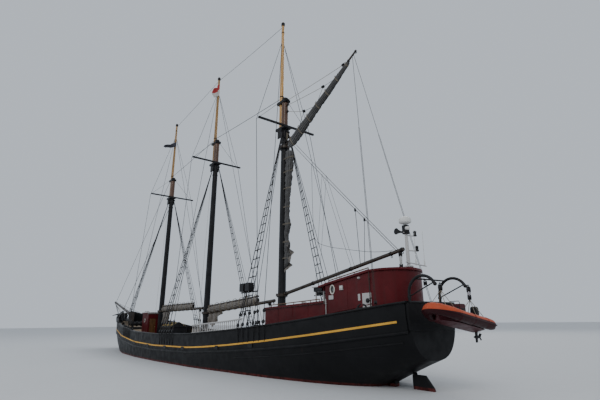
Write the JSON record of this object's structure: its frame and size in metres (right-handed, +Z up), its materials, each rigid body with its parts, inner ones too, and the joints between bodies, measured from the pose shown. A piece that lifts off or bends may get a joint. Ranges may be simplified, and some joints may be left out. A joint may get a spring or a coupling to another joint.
{
  "type": "three-masted gaff schooner, tall ship, 1:2 scale model",
  "caption": "Three-masted gaff schooner afloat, half size: decked hull, red deckhouses, lowered sails, stern davits with an inflatable boat. Spars, rudder, propeller and doors move.",
  "frame": {"origin": "on the centreline at the waterline, under the main mast's foot", "axes": "+X to the bow, +Y to port, +Z up"},
  "size_m": [25.3497, 3.68, 13.7078],
  "materials": {
    "hull_paint": "semi-gloss",
    "deck_planks": "worn matt",
    "house_paint": "semi-gloss",
    "roof_paint": "matt",
    "varnish": "varnished",
    "mast_paint": "semi-gloss",
    "iron": "painted",
    "canvas": "weathered",
    "grey_canvas": "weathered",
    "wire": "tarred",
    "bronze": "dull",
    "boat_tube": "matt",
    "boat_bottom": "satin",
    "outboard_plastic": "satin",
    "white_paint": "semi-gloss"
  },
  "bodies": {
    "ship": {"hull": "hull_paint", "bulwark_port": "hull_paint", "bulwark_starboard": "hull_paint", "bulwark_transom": "hull_paint", "deck_aft": "deck_planks", "deck_waist": "deck_planks", "deck_midships": "deck_planks", "deck_fore": "deck_planks", "after_house_walls": "house_paint", "after_house_roof": "roof_paint", "wheelhouse_walls": "house_paint", "wheelhouse_roof": "house_paint", "fore_house_walls": "house_paint", "fore_house_roof": "roof_paint", "hatch_coaming": "varnish", "fore_lower_mast": "mast_paint", "main_lower_mast": "mast_paint", "mizzen_lower_mast": "mast_paint", "fore_topmast": "varnish", "main_topmast": "varnish", "mizzen_topmast": "varnish", "fore_crosstrees": "iron", "main_crosstrees": "iron", "mizzen_crosstrees": "iron", "mizzen_mast_sail": "grey_canvas", "bowsprit": "varnish", "forestay": "wire", "bobstay": "wire", "anchor_port": "iron", "anchor_starboard": "iron", "windlass": "iron", "steering_pedestal": "varnish", "davits": "mast_paint", "boat_tube": "boat_tube", "boat_hull": "boat_bottom", "outboard": "outboard_plastic", "instrument_pole": "white_paint", "fore_shrouds_port": "wire", "fore_shrouds_starboard": "wire", "main_shrouds_port": "wire", "main_shrouds_starboard": "wire", "mizzen_shrouds_port": "wire", "mizzen_shrouds_starboard": "wire"},
    "rudder": {"rudder": "hull_paint"},
    "propeller": {"propeller": "bronze"},
    "steering_wheel": {"steering_wheel": "varnish"},
    "fore_spars": {"fore_boom": "varnish", "fore_gaff": "varnish", "fore_sail": "canvas"},
    "main_spars": {"main_boom": "varnish", "main_gaff": "varnish", "main_sail": "canvas"},
    "mizzen_boom": {"mizzen_boom": "varnish"},
    "mizzen_gaff": {"mizzen_gaff": "varnish", "mizzen_gaff_sail": "grey_canvas"},
    "after_house_door": {"after_house_door": "varnish"},
    "wheelhouse_door": {"wheelhouse_door": "varnish"},
    "fore_house_door": {"fore_house_door": "varnish"},
    "hatch_lid": {"hatch_lid": "varnish"},
    "outboard_propeller": {"outboard_propeller": "outboard_plastic"}
  },
  "joints": [
    {"name": "rudder_stock", "type": "hinge", "parent": "ship", "child": "rudder", "pos_m": [-10.25, 0, -0.6], "axis": [0, 0, 1], "range_deg": [-35, 35]},
    {"name": "propeller_shaft", "type": "hinge", "parent": "ship", "child": "propeller", "pos_m": [-9.935, 0, -0.8], "axis": [1, 0, 0], "continuous": true},
    {"name": "wheel_axle", "type": "hinge", "parent": "ship", "child": "steering_wheel", "pos_m": [-8.905, 0, 1.475], "axis": [1, 0, 0], "range_deg": [-540, 540]},
    {"name": "fore_boom_swing", "type": "hinge", "parent": "ship", "child": "fore_spars", "pos_m": [4.71708, 0, 1.87456], "axis": [-0.0265, 0, 0.9996], "range_deg": [-45, 45]},
    {"name": "main_boom_swing", "type": "hinge", "parent": "ship", "child": "main_spars", "pos_m": [-0.40812, 0, 1.67956], "axis": [-0.0265, 0, 0.9996], "range_deg": [-45, 45]},
    {"name": "mizzen_boom_swing", "type": "hinge", "parent": "ship", "child": "mizzen_boom", "pos_m": [-5.58877, 0, 2.07449], "axis": [-0.0265, 0, 0.9996], "range_deg": [-45, 45]},
    {"name": "mizzen_gaff_swing", "type": "hinge", "parent": "ship", "child": "mizzen_gaff", "pos_m": [-5.71397, 0, 6.79783], "axis": [-0.0265, 0, 0.9996], "range_deg": [-45, 45]},
    {"name": "after_house_door_hinge", "type": "hinge", "parent": "ship", "child": "after_house_door", "pos_m": [-5.7671, 0.435, 1.1], "axis": [0, 0, 1], "range_deg": [0, 110]},
    {"name": "wheelhouse_door_hinge", "type": "hinge", "parent": "ship", "child": "wheelhouse_door", "pos_m": [-9.09, -0.7079, 1.4], "axis": [0, 0, 1], "range_deg": [0, 110]},
    {"name": "fore_house_door_hinge", "type": "hinge", "parent": "ship", "child": "fore_house_door", "pos_m": [5.0171, 0.435, 1.1], "axis": [0, 0, -1], "range_deg": [0, 110]},
    {"name": "hatch_hinge", "type": "hinge", "parent": "ship", "child": "hatch_lid", "pos_m": [1.5, -0.415, 0.6894], "axis": [1, 0, 0], "range_deg": [0, 95]},
    {"name": "outboard_shaft", "type": "hinge", "parent": "ship", "child": "outboard_propeller", "pos_m": [-11.36, -0.615, 0.9887], "axis": [0, 1, 0], "continuous": true}
  ]
}
